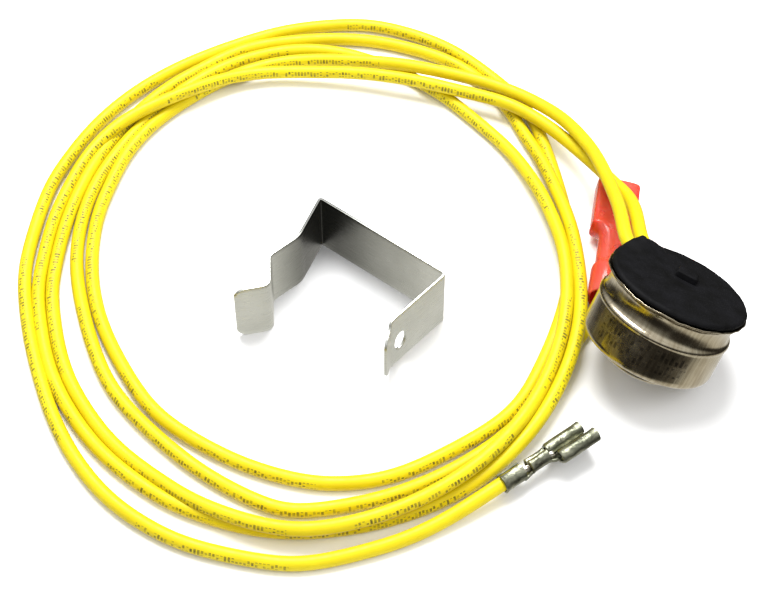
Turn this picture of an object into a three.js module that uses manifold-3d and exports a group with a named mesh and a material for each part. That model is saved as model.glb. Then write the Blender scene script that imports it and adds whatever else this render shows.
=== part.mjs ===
// Pipe thermostat: a sealed snap-disc capsule on two coiled leads, with a loose spring clip.
// Millimetres, +Z up. The capsule leans on its foot, the clip stands inside the coil.
import * as THREE from 'three';
import { mergeVertices } from 'three/addons/utils/BufferGeometryUtils.js';
import Module from 'manifold-3d';

const wasm = await Module();
wasm.setup();

// ---- Driving dimensions ----
const gap = 0.3; // clearance between pieces that sit against each other

const footRadius = 7.5;
const footHeight = 2.5;
const bodyRadius = 12.35;
const shoulderHeight = 10.5; // top of the bead
const waistRadius = 11.5;
const rimRadius = 13.2;
const rimHeight = 15.7;
const wall = 0.6; // sheet thickness of the shell
const roundSides = 48;

const pottingProud = 1.3; // how far the potting stands above the rim
const lumpSize = [2.3, 4.4, 1.8];
const nubSize = [4.2, 3.0, 1.2];
const nubPlace = [1.57, -2.56];
const nubTurn = THREE.MathUtils.degToRad(37.4);

const discRadius = 6.3;
const discThickness = 0.25;
const discCrown = 0.5;
const retainerHeight = 0.5;
const pinRadius = 0.9;
const pinTop = 6.5;
const baseTop = 8.8;
const pocketHalfWidth = 3.0;
const pocketFloor = 4.4;
const ledgeFloor = 5.8;
const ledgeEnd = -3.5;
const tabStock = 0.4; // thickness of the terminal tabs
const tabReach = 8.9; // how far out from the middle the tabs' risers stand
const riserTop = 12.5;
const riserHalfWidth = 1.5;
const contactPlace = 4.6;
const contactRadius = 1.2;
const contactHeight = 0.4;
const armThickness = 0.25;
const armRoot = -8.1;
const armTip = 6.0;
const armRivetPlace = -6.3;
const fixedRivetPlace = 7.0;
const rivetHeadRadius = 0.9;
const rivetHeadHeight = 0.45;
const rivetShankRadius = 0.5;
const coverThickness = 1.3;

const leadRadius = 1.3;
const coreRadius = 0.6;
const leadSides = 8;
const leadExit = { reach: 14.0, height: 16.2, sideways: [leadRadius + 0.5, -leadRadius - 0.8] };

const capsuleLean = THREE.MathUtils.degToRad(29.3);
const capsuleLeanHeading = THREE.MathUtils.degToRad(41.6);
const leadExitTurn = THREE.MathUtils.degToRad(76.6); // from the low side round to the leads
const capsuleFoot = [bodyRadius + 14.99, -12.1];

const coilCentre = [-33.4, 13.5];
const coilHeight = 5.6;

const stripHeight = 12.7; // the clip's strip width, standing on edge
const stripThickness = 0.5;
const stripBendRadius = 0.9;
const clipHole = { width: 3.0, height: 5.0, fromBend: 2.4 };
const lipHeight = 10.4;
const tabCorner = 2.2;

const receptacleLength = 18.8;
const receptacleWidth = 7.4;
const receptacleMouth = 7.8; // length of the rolled part
const rollHeight = 2.4;
const terminalStock = 0.4;
const crimpStock = 0.35;
const insulationCrimp = [0, 4.5];
const conductorCrimp = [6, 10.5];
const bareTerminal = { place: [1.6, -38.5, 3.05], heading: 36, pitch: 3.6, roll: -36 };

const sleeveBox = { length: 12.2, width: 8.6, height: 4.6, wall: 0.5 };
const sleeveBell = { length: 8.0, radius: 3.1, wall: 0.6 };
const sleeveBarrel = { radius: 2.5, wall: 0.6 };
const sleeveTaper = 1.8;
const sleeveLength = 29.0;
const sleevePlace = { place: [22.1, 2.4, 3.15], heading: 80.2, roll: 8 };

// ---- Solids and meshes ----
function solidOf(geometry) {
  const bare = geometry.clone();
  bare.deleteAttribute('normal');
  bare.deleteAttribute('uv');
  const merged = mergeVertices(bare, 1e-4);
  const corners = merged.index.array;
  const kept = [];
  for (let i = 0; i < corners.length; i += 3) {
    const [a, b, c] = corners.slice(i, i + 3);
    if (a !== b && b !== c && c !== a) kept.push(a, b, c);
  }
  return new wasm.Manifold(new wasm.Mesh({
    numProp: 3,
    vertProperties: merged.attributes.position.array,
    triVerts: new Uint32Array(kept),
  }));
}

function meshOf(name, solid, colour, roughness, metalness) {
  const made = solid.getMesh();
  const geometry = new THREE.BufferGeometry();
  geometry.setAttribute('position', new THREE.BufferAttribute(made.vertProperties, 3));
  geometry.setIndex(new THREE.BufferAttribute(made.triVerts, 1));
  geometry.computeVertexNormals();
  const material = new THREE.MeshStandardMaterial({ color: colour, roughness, metalness });
  const mesh = new THREE.Mesh(geometry, material);
  mesh.name = name;
  return mesh;
}

// A solid turned about +Z from [radius, height] points that run anticlockwise.
function turned(profile, sides = roundSides) {
  const points = profile.map(([r, z]) => new THREE.Vector2(r, z));
  return solidOf(new THREE.LatheGeometry(points, sides).rotateX(Math.PI / 2));
}

function disc(radius, bottom, top, x = 0, y = 0, sides = 32) {
  const profile = [[0, bottom], [radius, bottom], [radius, top], [0, top]];
  const points = profile.map(([r, z]) => new THREE.Vector2(r, z));
  const geometry = new THREE.LatheGeometry(points, sides).rotateX(Math.PI / 2);
  return solidOf(geometry.translate(x, y, 0));
}

// A block from its lowest to its highest corner.
function block(low, high) {
  const size = high.map((value, axis) => value - low[axis]);
  const geometry = new THREE.BoxGeometry(...size);
  return solidOf(geometry.translate(...low.map((value, axis) => value + size[axis] / 2)));
}

function tube(points, radius, steps, sides = leadSides) {
  const path = new THREE.CatmullRomCurve3(points.map((p) => new THREE.Vector3(...p)));
  const section = new THREE.Shape();
  for (let side = 0; side < sides; side += 1) {
    const turn = (2 * Math.PI * side) / sides;
    const corner = [radius * Math.cos(turn), radius * Math.sin(turn)];
    if (side === 0) section.moveTo(...corner);
    else section.lineTo(...corner);
  }
  return solidOf(new THREE.ExtrudeGeometry(section, { extrudePath: path, steps }));
}

// The outline of a strip of even thickness along a line of [x, y] points, its bends rounded.
function stripShape(line, thickness, bendRadius) {
  const middle = line.map(([x, y]) => new THREE.Vector2(x, y));
  const rounded = [middle[0]];
  for (let i = 1; i < middle.length - 1; i += 1) {
    const corner = middle[i];
    const back = middle[i - 1].clone().sub(corner).normalize();
    const ahead = middle[i + 1].clone().sub(corner).normalize();
    const half = Math.acos(THREE.MathUtils.clamp(back.dot(ahead), -1, 1)) / 2;
    const reach = bendRadius / Math.tan(half);
    const start = corner.clone().addScaledVector(back, reach);
    const end = corner.clone().addScaledVector(ahead, reach);
    const bend = new THREE.QuadraticBezierCurve(start, corner, end);
    rounded.push(...bend.getPoints(4));
  }
  rounded.push(middle.at(-1));
  const sides = [[], []];
  rounded.forEach((point, i) => {
    const before = rounded[Math.max(i - 1, 0)];
    const after = rounded[Math.min(i + 1, rounded.length - 1)];
    const along = after.clone().sub(before).normalize();
    const normal = new THREE.Vector2(-along.y, along.x);
    sides[0].push(point.clone().addScaledVector(normal, thickness / 2));
    sides[1].push(point.clone().addScaledVector(normal, -thickness / 2));
  });
  return new THREE.Shape([...sides[1], ...sides[0].reverse()]);
}

// A shape drawn in [across, up] carried along +X from start to end.
function alongX(shape, start, end) {
  const geometry = new THREE.ExtrudeGeometry(shape, { depth: end - start, bevelEnabled: false });
  geometry.applyMatrix4(new THREE.Matrix4().makeBasis(
    new THREE.Vector3(0, 1, 0), new THREE.Vector3(0, 0, 1), new THREE.Vector3(1, 0, 0)));
  return solidOf(geometry.translate(start, 0, 0));
}

function joined(...solids) {
  return solids.reduce((whole, next) => whole.add(next));
}

// ---- Capsule: shell, disc, switch and potting, in the capsule's own frame ----
// Local +Z is the capsule's axis from the foot, local +X points at the leads.
const capsule = new THREE.Group();

const shellInside = bodyRadius - wall;
const footInside = footRadius - wall;
const ledgeTop = footHeight + wall;
const pottingTop = rimHeight + pottingProud;

function addShell() {
  const outside = [
    [0, 0], [footRadius - 0.4, 0], [footRadius, 0.4], [footRadius, footHeight],
    [bodyRadius - 0.95, footHeight], [bodyRadius - 0.15, footHeight + 0.7],
    [bodyRadius, footHeight + 1.7], [bodyRadius, shoulderHeight - 1.1],
    [bodyRadius + 0.2, shoulderHeight - 0.6], [bodyRadius + 0.05, shoulderHeight],
    [bodyRadius - 0.45, shoulderHeight + 0.7], [waistRadius, shoulderHeight + 1.9],
    [waistRadius + 0.05, rimHeight - 2.3], [waistRadius + 0.6, rimHeight - 0.9],
    [rimRadius, rimHeight],
  ];
  const inside = [
    [rimRadius - 0.55, rimHeight + 0.05], [waistRadius + 0.05, rimHeight - 0.6],
    [waistRadius - wall, rimHeight - 2.2], [waistRadius - wall, shoulderHeight + 1.8],
    [shellInside - 0.45, shoulderHeight + 0.5], [shellInside, shoulderHeight - 0.1],
    [shellInside, ledgeTop + 1.0], [shellInside - 0.6, ledgeTop],
    [footInside, ledgeTop], [footInside, wall], [0, wall],
  ];
  const notch = block([9, -3.9, leadExit.height - leadRadius - gap], [15, 3.6, 20]);
  const shell = turned([...outside, ...inside]).subtract(notch);
  capsule.add(meshOf('housing_shell', shell, 0xb9ab8f, 0.25, 1));
}

// The snap disc: domed, its edge resting just above the shell's floor.
const discEdge = wall + gap;
function addDisc() {
  const top = [];
  const bottom = [];
  const rings = 4;
  for (let ring = 0; ring <= rings; ring += 1) {
    const r = (discRadius * ring) / rings;
    const rise = discCrown * (1 - (ring / rings) ** 2);
    bottom.push([r, discEdge + rise]);
    top.unshift([r, discEdge + rise + discThickness]);
  }
  capsule.add(meshOf('bimetal_disc', turned([...bottom, ...top], 36), 0xa8a49a, 0.35, 1));
}
const discTop = discEdge + discCrown + discThickness;

function addRetainer() {
  const outer = footInside - gap;
  const inner = outer - 1.6;
  const top = footHeight;
  const bottom = top - retainerHeight;
  const ring = turned([[inner, bottom], [outer, bottom], [outer, top], [inner, top],
    [inner, bottom]], 36);
  capsule.add(meshOf('disc_retainer', ring, 0x9c9c98, 0.4, 1));
}

function addPin() {
  capsule.add(meshOf('transfer_pin', disc(pinRadius, discTop + 0.4, pinTop), 0xe8e4da, 0.4, 0));
}

const fixedPlateTop = pocketFloor + gap + tabStock;
const armFootTop = ledgeFloor + gap + tabStock;
const armBottom = armFootTop + gap;
const baseRadius = shellInside - gap - 0.1;

function addBase() {
  const bottom = ledgeTop + gap;
  const reach = tabReach + gap;
  const body = turned([[0, bottom], [baseRadius - 0.7, bottom], [baseRadius, bottom + 1.2],
    [baseRadius, baseTop], [0, baseTop]], 48);
  const deep = block([ledgeEnd, -pocketHalfWidth, pocketFloor], [reach, pocketHalfWidth, 20]);
  const ledge = block([-reach, -pocketHalfWidth, ledgeFloor],
    [ledgeEnd + 0.1, pocketHalfWidth, 20]);
  const pinBore = disc(pinRadius + gap, 0, 20);
  const rivetBores = [armRivetPlace, fixedRivetPlace].map(
    (x) => disc(rivetShankRadius + gap, 0, 20, x, 0, 16));
  const base = [deep, ledge, pinBore, ...rivetBores].reduce(
    (whole, cut) => whole.subtract(cut), body);
  capsule.add(meshOf('switch_base', base, 0x3a2418, 0.6, 0));
}

// A tab with a flat foot and a riser at its outer end; side is +1 or -1 along X.
function tab(side, footEnd, footTop) {
  const outer = side * tabReach;
  const inner = side * (tabReach - tabStock);
  const bottom = footTop - tabStock;
  const footHalfWidth = pocketHalfWidth - 1;
  const foot = block([Math.min(footEnd, outer), -footHalfWidth, bottom],
    [Math.max(footEnd, outer), footHalfWidth, footTop]);
  const riser = block([Math.min(inner, outer), -riserHalfWidth, bottom],
    [Math.max(inner, outer), riserHalfWidth, riserTop]);
  const rivet = side > 0 ? fixedRivetPlace : armRivetPlace;
  return joined(foot, riser).subtract(disc(rivetShankRadius + gap, 0, 10, rivet, 0, 16));
}

function addSwitch() {
  const fixedTab = tab(1, contactPlace - contactRadius - 0.4, fixedPlateTop);
  const armTab = tab(-1, ledgeEnd - 0.5, armFootTop);
  capsule.add(meshOf('fixed_terminal', fixedTab, 0xb98a4a, 0.35, 1));
  capsule.add(meshOf('arm_terminal', armTab, 0xb98a4a, 0.35, 1));

  const arm = block([armRoot, -1.6, armBottom], [armTip, 1.6, armBottom + armThickness]);
  const armHole = disc(rivetShankRadius + gap, 0, 10, armRivetPlace, 0, 16);
  capsule.add(meshOf('contact_arm', arm.subtract(armHole), 0xc08a50, 0.3, 1));

  const fixedBottom = fixedPlateTop + gap;
  const movingTop = armBottom - gap;
  const fixedContact = disc(contactRadius, fixedBottom, fixedBottom + contactHeight, contactPlace);
  const movingContact = disc(contactRadius, movingTop - contactHeight, movingTop, contactPlace);
  capsule.add(meshOf('fixed_contact', fixedContact, 0xd8d8d8, 0.25, 1));
  capsule.add(meshOf('moving_contact', movingContact, 0xd8d8d8, 0.25, 1));

  const rivets = [
    ['arm_rivet', armRivetPlace, armBottom + armThickness + gap],
    ['fixed_rivet', fixedRivetPlace, fixedPlateTop + gap],
  ];
  for (const [name, x, headBottom] of rivets) {
    const shankBottom = ledgeTop + 2 * gap;
    const shank = disc(rivetShankRadius, shankBottom, headBottom + 0.1, x, 0, 16);
    const head = disc(rivetHeadRadius, headBottom, headBottom + rivetHeadHeight, x, 0, 24);
    capsule.add(meshOf(name, joined(shank, head), 0xc9a254, 0.35, 1));
  }
}

// Room round the two risers, used by the cover and by the potting.
function riserSlots(bottom, top) {
  const inner = tabReach - tabStock - gap;
  const outer = tabReach + gap;
  const halfWidth = riserHalfWidth + gap;
  return [1, -1].map((side) => block(
    [Math.min(side * inner, side * outer), -halfWidth, bottom],
    [Math.max(side * inner, side * outer), halfWidth, top]));
}

const coverBottom = baseTop + gap;
const coverTop = coverBottom + coverThickness;
function addCover() {
  const plate = disc(baseRadius, coverBottom, coverTop, 0, 0, 48);
  const cover = riserSlots(0, 20).reduce((whole, slot) => whole.subtract(slot), plate);
  capsule.add(meshOf('insulating_cover', cover, 0x6b4a30, 0.8, 0));
}

const coreRoutes = leadExit.sideways.map((sideways, lead) => {
  const riser = (lead === 0 ? -1 : 1) * (tabReach - tabStock / 2);
  const end = [leadExit.reach - gap, sideways, leadExit.height];
  const start = [riser, sideways / 3, riserTop + gap];
  const middle = lead === 0
    ? [[riser + 1.2, sideways / 2, riserTop + 1.9], [riser + 4, sideways, riserTop + 2.6],
      [4, sideways, leadExit.height - 0.6]]
    : [[riser + 0.6, sideways * 0.7, riserTop + 1.8]];
  return [start, ...middle, [end[0] - 1.6, sideways, leadExit.height], end];
});

function addCores() {
  const names = ['plain_lead_core', 'printed_lead_core'];
  coreRoutes.forEach((route, lead) => {
    const core = tube(route, coreRadius, lead === 0 ? 14 : 8);
    capsule.add(meshOf(names[lead], core, 0xc07a45, 0.35, 1));
  });
}

function addPotting() {
  const bottom = coverTop + gap;
  const fill = [
    [0, bottom], [shellInside - gap - 0.2, bottom], [shellInside - gap - 0.6, shoulderHeight + 0.6],
    [waistRadius - wall - gap, shoulderHeight + 1.7], [waistRadius - wall - gap, rimHeight - 2.2],
    [waistRadius - gap, rimHeight - 0.7], [rimRadius - 0.9, rimHeight + gap],
    [rimRadius - 0.1, rimHeight + gap + 0.05], [rimRadius - 0.1, pottingTop - 0.5],
    [rimRadius - 0.6, pottingTop - 0.1], [rimRadius - 4.2, pottingTop], [0, pottingTop],
  ];
  const lump = new THREE.SphereGeometry(1, 16, 10).scale(...lumpSize);
  lump.translate(leadExit.reach - 1.4 - lumpSize[0], 0, leadExit.height + 0.2);
  const nub = new THREE.BoxGeometry(...nubSize).rotateZ(nubTurn);
  nub.translate(...nubPlace, pottingTop + nubSize[2] / 2 - 0.1);
  const body = joined(turned(fill), solidOf(lump), solidOf(nub));
  const channels = coreRoutes.map((route, lead) => {
    const [x, y, z] = route.at(-1);
    return tube([...route, [x + 2, y, z]], coreRadius + gap, lead === 0 ? 16 : 10);
  });
  const potting = [...riserSlots(0, riserTop + gap + 0.2), ...channels].reduce(
    (whole, cut) => whole.subtract(cut), body);
  capsule.add(meshOf('potting_cap', potting, 0x1d1d20, 0.55, 0));
}

addShell();
addDisc();
addRetainer();
addPin();
addBase();
addSwitch();
addCover();
addCores();
addPotting();

// The capsule lies over on its foot, so that its lowest edge touches the ground.
const downhill = new THREE.Vector3(
  Math.cos(capsuleLeanHeading) * Math.cos(capsuleLean),
  Math.sin(capsuleLeanHeading) * Math.cos(capsuleLean),
  -Math.sin(capsuleLean));
const acrossHill = new THREE.Vector3(
  -Math.sin(capsuleLeanHeading), Math.cos(capsuleLeanHeading), 0);
const capsuleAxis = new THREE.Vector3().crossVectors(downhill, acrossHill);
const towardsLeads = downhill.clone().multiplyScalar(Math.cos(leadExitTurn))
  .addScaledVector(acrossHill, Math.sin(leadExitTurn));
const besideLeads = new THREE.Vector3().crossVectors(capsuleAxis, towardsLeads);
const restingEdges = [[footRadius - 0.4, 0], [bodyRadius - 0.95, footHeight],
  [bodyRadius - 0.15, footHeight + 0.7]];
const capsuleRise = Math.max(...restingEdges.map(
  ([r, z]) => r * Math.sin(capsuleLean) - z * Math.cos(capsuleLean)));
capsule.setRotationFromMatrix(
  new THREE.Matrix4().makeBasis(towardsLeads, besideLeads, capsuleAxis));
capsule.position.set(...capsuleFoot, capsuleRise);
capsule.updateMatrixWorld(true);

// ---- Leads ----
const leadYellow = 0xf7e61e;
const exits = leadExit.sideways.map((sideways) => capsule.localToWorld(
  new THREE.Vector3(leadExit.reach, sideways, leadExit.height)).toArray());

// Each stretch outside the coil, by hand, from the capsule or towards a terminal.
const plainLeadDown = [
  exits[0], [25.1, 12.7, 15.0], [24.3, 21.8, 12.5], [22.7, 31.5, 10.2], [21.4, 36.4, 9.0],
  [20.1, 40.3, 7.8], [16.9, 47.5, 6.0], [14.5, 50.6, 5.2],
];
const printedLeadDown = [
  exits[1], [28.3, 14.6, 13.0], [27.6, 22.4, 10.0], [25.2, 27.7, 7.9], [23.6, 31.3, 7.5],
  [22.4, 33.5, 6.8], [19.0, 40.5, 4.8], [14.6, 46.6, 4.1], [12.4, 49.0, 4.0],
];
const bareTerminalLead = [
  [-16.9, -49.3, 1.31], [-13.0, -47.5, 1.31], [-9.6, -45.75, 1.45], [-5.7, -43.4, 1.95],
  [-2.1, -41.05, 2.6], [1.6, -38.5, 3.05], [5.15, -35.92, 3.32],
];
const sleeveLead = [
  [19.5, -1.6, 1.4], [21.1, 0.6, 1.9], [22.2, 3.2, 2.6], [22.95, 6.9, 3.1], [23.7, 11.5, 3.15],
];

function lead(name, route, steps) {
  return meshOf(name, tube(route, leadRadius, steps), leadYellow, 0.4, 0);
}

// ---- Coil: the room that the loosely wound leads take up ----
const coilOutside = [
  [0, 53], [15, 53.5], [25, 55], [38.6, 56], [38.8, 61.2], [45, 62.5], [60, 66], [75, 68.8],
  [90, 67.5], [105, 64.3], [120, 61.3], [135, 58.8], [150, 56], [165, 54.5], [180, 53.9],
  [195, 54], [210, 55.6], [225, 59.4], [240, 64.2], [255, 67.2], [270, 68], [283.4, 66.4],
  [283.6, 61], [300, 59.9], [305, 59.6], [315, 58.6], [330, 56.2], [341, 54.5], [343, 52.9],
  [360, 53],
];
const coilInside = [
  [0, 47], [30, 48], [45, 49.5], [60, 50.6], [75, 49.3], [90, 49], [105, 49.6], [120, 48.5],
  [135, 45.2], [150, 42.4], [165, 39.6], [180, 38.7], [195, 38.5], [210, 38.9], [225, 40.5],
  [240, 42.8], [255, 45.6], [270, 48.8], [285, 50.3], [300, 50.4], [315, 50.3], [330, 48.6],
  [345, 47.8], [360, 47],
];

function ringPath(Kind, outline) {
  const points = [];
  const step = 5;
  for (let i = 0; i < outline.length - 1; i += 1) {
    const [angle, radius] = outline[i];
    const [nextAngle, nextRadius] = outline[i + 1];
    const pieces = Math.ceil((nextAngle - angle) / step);
    for (let piece = 0; piece < pieces; piece += 1) {
      const share = piece / pieces;
      const turn = THREE.MathUtils.degToRad(angle + (nextAngle - angle) * share);
      const reach = radius + (nextRadius - radius) * share;
      points.push(new THREE.Vector2(
        coilCentre[0] + reach * Math.cos(turn), coilCentre[1] + reach * Math.sin(turn)));
    }
  }
  return new Kind(points);
}

function coil() {
  const outline = ringPath(THREE.Shape, coilOutside);
  outline.holes.push(ringPath(THREE.Path, coilInside));
  const ring = new THREE.ExtrudeGeometry(outline, { depth: coilHeight, bevelEnabled: false });
  return meshOf('lead_coil', solidOf(ring), leadYellow, 0.4, 0);
}

// ---- Receptacles: crimped 6.3 mm quick-connects, along local +X from the lead ----
function crimp([start, end], inside, opening) {
  const shape = new THREE.Shape();
  const outside = inside + crimpStock;
  shape.absarc(0, 0, outside, Math.PI / 2 + opening, Math.PI * 2.5 - opening, false);
  shape.absarc(0, 0, inside, Math.PI * 2.5 - opening, Math.PI / 2 + opening, true);
  shape.closePath();
  return alongX(shape, start, end);
}

// The flat body with its two edges rolled over, drawn from the middle of the strip.
function rolledBody(width, height, floor, start, end) {
  const half = width / 2 - terminalStock / 2;
  const low = floor + terminalStock / 2;
  const high = floor + height - terminalStock / 2;
  const inner = half - 2.1;
  const line = [[-inner, low + 0.75], [-inner, high], [-half, high], [-half, low], [half, low],
    [half, high], [inner, high], [inner, low + 0.75]];
  return alongX(stripShape(line, terminalStock, 0.55), start, end);
}

function bareReceptacle() {
  const insulationInside = leadRadius + gap;
  const conductorInside = coreRadius + gap;
  const floor = -insulationInside - crimpStock;
  const spine = block([insulationCrimp[0], -0.9, floor],
    [receptacleLength - receptacleMouth + 0.5, 0.9, floor + terminalStock]);
  const web = block([conductorCrimp[0], -0.5, floor],
    [conductorCrimp[1], 0.5, -conductorInside - 0.1]);
  const neck = block([conductorCrimp[1] + 0.4, -1.7, floor],
    [receptacleLength - receptacleMouth + 0.5, 1.7, floor + terminalStock]);
  const body = rolledBody(receptacleWidth, rollHeight, floor,
    receptacleLength - receptacleMouth, receptacleLength);
  const whole = joined(crimp(insulationCrimp, insulationInside, 0.35),
    crimp(conductorCrimp, conductorInside, 0.3), spine, web, neck, body);
  const group = new THREE.Group();
  group.add(meshOf('bare_receptacle', whole, 0x9a9c8c, 0.35, 1));
  const strands = tube([[insulationCrimp[1] + 0.2, 0, 0], [7, 0, 0], [9, 0, 0],
    [conductorCrimp[1] + 0.8, 0, 0]], coreRadius, 2);
  group.add(meshOf('bare_end_conductor', strands, 0xc07a45, 0.35, 1));
  return group;
}

function laid(group, { place, heading, pitch = 0, roll }) {
  const turn = THREE.MathUtils.degToRad;
  group.rotation.set(turn(roll), turn(-pitch), turn(heading), 'ZYX');
  group.position.set(...place);
  return group;
}

// ---- Insulated receptacle: nylon sleeve with a bell, a barrel and a box ----
function roundedRectangle(width, height, corner) {
  const shape = new THREE.Shape();
  const [x, y] = [width / 2, height / 2];
  shape.moveTo(-x + corner, -y);
  shape.lineTo(x - corner, -y);
  shape.absarc(x - corner, -y + corner, corner, -Math.PI / 2, 0, false);
  shape.lineTo(x, y - corner);
  shape.absarc(x - corner, y - corner, corner, 0, Math.PI / 2, false);
  shape.lineTo(-x + corner, y);
  shape.absarc(-x + corner, y - corner, corner, Math.PI / 2, Math.PI, false);
  shape.lineTo(-x, -y + corner);
  shape.absarc(-x + corner, -y + corner, corner, Math.PI, Math.PI * 1.5, false);
  return shape;
}

function insulatedReceptacle() {
  const boxStart = sleeveLength - sleeveBox.length;
  const round = (profile) => {
    const points = profile.map(([r, x]) => new THREE.Vector2(r, x));
    return solidOf(new THREE.LatheGeometry(points, 24).rotateZ(-Math.PI / 2));
  };
  const outside = round([[0, 0], [sleeveBell.radius, 0],
    [sleeveBell.radius, sleeveBell.length - 0.8], [sleeveBarrel.radius, sleeveBell.length],
    [sleeveBarrel.radius, boxStart - sleeveTaper],
    [sleeveBox.height / 2, boxStart + 0.3], [0, boxStart + 0.3]]);
  const bellInside = sleeveBell.radius - sleeveBell.wall;
  const barrelInside = sleeveBarrel.radius - sleeveBarrel.wall;
  const inside = round([[0, -1], [bellInside, -1], [bellInside, sleeveBell.length - 1.2],
    [barrelInside, sleeveBell.length - 0.4], [barrelInside, boxStart + 1.5],
    [0, boxStart + 1.5]]);
  const box = alongX(roundedRectangle(sleeveBox.width, sleeveBox.height, 1), boxStart,
    sleeveLength);
  const roomWidth = sleeveBox.width - 2 * sleeveBox.wall;
  const roomHeight = sleeveBox.height - 2 * sleeveBox.wall;
  const room = alongX(roundedRectangle(roomWidth, roomHeight, 0.5), boxStart + 1,
    sleeveLength + 1);
  const sleeve = joined(outside, box).subtract(room).subtract(inside);

  const group = new THREE.Group();
  group.add(meshOf('insulator_sleeve', sleeve, 0xe8321e, 0.3, 0));

  const crimpSpan = [sleeveBell.length + 2.6, sleeveBell.length + 6.4];
  const crimpOutside = barrelInside - gap;
  const crimpInside = crimpOutside - crimpStock;
  const bodyStart = boxStart + 1 + gap;
  const bodyHeight = roomHeight - 2 * gap;
  const floor = -bodyHeight / 2;
  const body = rolledBody(roomWidth - 2 * gap, bodyHeight, floor, bodyStart,
    sleeveLength - 0.8);
  const spine = block([crimpSpan[0], -0.8, floor], [bodyStart + 0.5, 0.8, floor + terminalStock]);
  const metal = joined(crimp(crimpSpan, crimpInside, 0.3), spine, body);
  group.add(meshOf('insulated_receptacle', metal, 0x9a9c8c, 0.35, 1));

  const strandsStart = sleeveBell.length + 1.9;
  const strands = tube([[strandsStart, 0, 0], [strandsStart + 2, 0, 0],
    [crimpSpan[1] - 1, 0, 0], [crimpSpan[1] + 0.6, 0, 0]], coreRadius, 2);
  group.add(meshOf('insulated_end_conductor', strands, 0xc07a45, 0.35, 1));
  return group;
}

// ---- Spring clip: one bent strip standing on its edge ----
const clipLine = [
  [-45.4, -3.5], [-38.9, -2.0], [-39.2, 5.0], [-34.0, 9.7], [-30.3, 19.2],
  [-7.3, 0.7], [-17.2, -10.5], [-18.2, -15.0],
];

// What is cut off the strip's end to leave a lower end with rounded corners.
function endCutter(bend, tip, endHeight, corner) {
  const length = Math.hypot(tip[0] - bend[0], tip[1] - bend[1]);
  const middle = stripHeight / 2;
  const kept = new THREE.Shape();
  kept.moveTo(-1, middle - stripHeight);
  kept.lineTo(0.6, middle - stripHeight);
  kept.lineTo(1.2, -endHeight / 2);
  kept.lineTo(length - corner, -endHeight / 2);
  kept.absarc(length - corner, -endHeight / 2 + corner, corner, -Math.PI / 2, 0, false);
  kept.lineTo(length, endHeight / 2 - corner);
  kept.absarc(length - corner, endHeight / 2 - corner, corner, 0, Math.PI / 2, false);
  kept.lineTo(1.2, endHeight / 2);
  kept.lineTo(0.6, stripHeight - middle);
  kept.lineTo(-1, stripHeight - middle);
  const around = new THREE.Shape([[0.6, -9], [length + 2, -9], [length + 2, 9], [0.6, 9]].map(
    ([x, y]) => new THREE.Vector2(x, y)));
  const solid = (shape) => solidOf(new THREE.ExtrudeGeometry(
    shape, { depth: 3, bevelEnabled: false }).translate(0, 0, -1.5));
  return onStrip(solid(around).subtract(solid(kept)), bend, tip);
}

// Places a cutter drawn with +X along the strip and +Y up on the leg from one bend to the next.
function onStrip(cutter, from, to) {
  const along = new THREE.Vector3(to[0] - from[0], to[1] - from[1], 0).normalize();
  const up = new THREE.Vector3(0, 0, 1);
  const place = new THREE.Matrix4().makeBasis(
    along, up, new THREE.Vector3().crossVectors(along, up));
  place.setPosition(from[0], from[1], stripHeight / 2);
  return cutter.transform(place.elements);
}

function springClip() {
  const outline = stripShape(clipLine, stripThickness, stripBendRadius);
  const strip = solidOf(new THREE.ExtrudeGeometry(
    outline, { depth: stripHeight, bevelEnabled: false }));
  const hole = new THREE.Shape();
  hole.absellipse(clipHole.fromBend, -0.3, clipHole.width / 2, clipHole.height / 2,
    0, Math.PI * 2, false);
  const holeCutter = solidOf(new THREE.ExtrudeGeometry(
    hole, { depth: 4, bevelEnabled: false, curveSegments: 8 }).translate(0, 0, -2));
  const clip = strip
    .subtract(endCutter(clipLine[1], clipLine[0], stripHeight, tabCorner))
    .subtract(endCutter(clipLine.at(-2), clipLine.at(-1), lipHeight, tabCorner))
    .subtract(onStrip(holeCutter, clipLine.at(-2), clipLine.at(-3)));
  return meshOf('spring_clip', clip, 0xb4b5ae, 0.3, 1);
}

// ---- The whole ----
// Moved so that the origin is under the middle of the capsule and the clip together.
const thermostat = new THREE.Group();
thermostat.position.set(0, 1.8, 0);
thermostat.add(
  capsule,
  lead('plain_lead_tail', plainLeadDown, 14),
  lead('printed_lead_tail', printedLeadDown, 14),
  lead('bare_end_tail', bareTerminalLead, 8),
  lead('red_end_tail', sleeveLead, 6),
  coil(),
  laid(bareReceptacle(), bareTerminal),
  laid(insulatedReceptacle(), sleevePlace),
  springClip(),
);

export default thermostat;
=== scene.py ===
import math

import bmesh
import bpy
from mathutils import Matrix, Vector


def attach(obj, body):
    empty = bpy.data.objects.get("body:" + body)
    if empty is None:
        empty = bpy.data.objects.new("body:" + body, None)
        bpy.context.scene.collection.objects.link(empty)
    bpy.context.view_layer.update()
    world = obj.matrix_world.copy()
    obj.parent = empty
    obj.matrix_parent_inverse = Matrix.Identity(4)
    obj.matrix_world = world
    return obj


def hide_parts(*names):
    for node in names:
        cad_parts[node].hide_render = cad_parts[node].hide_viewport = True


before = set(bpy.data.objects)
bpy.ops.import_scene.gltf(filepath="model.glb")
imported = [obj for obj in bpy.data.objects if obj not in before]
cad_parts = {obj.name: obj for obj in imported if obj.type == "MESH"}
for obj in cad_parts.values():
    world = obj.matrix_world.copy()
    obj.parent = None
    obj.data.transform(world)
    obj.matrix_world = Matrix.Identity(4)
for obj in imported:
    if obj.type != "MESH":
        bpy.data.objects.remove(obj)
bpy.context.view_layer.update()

mm = 0.001
scene = bpy.context.scene

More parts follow.
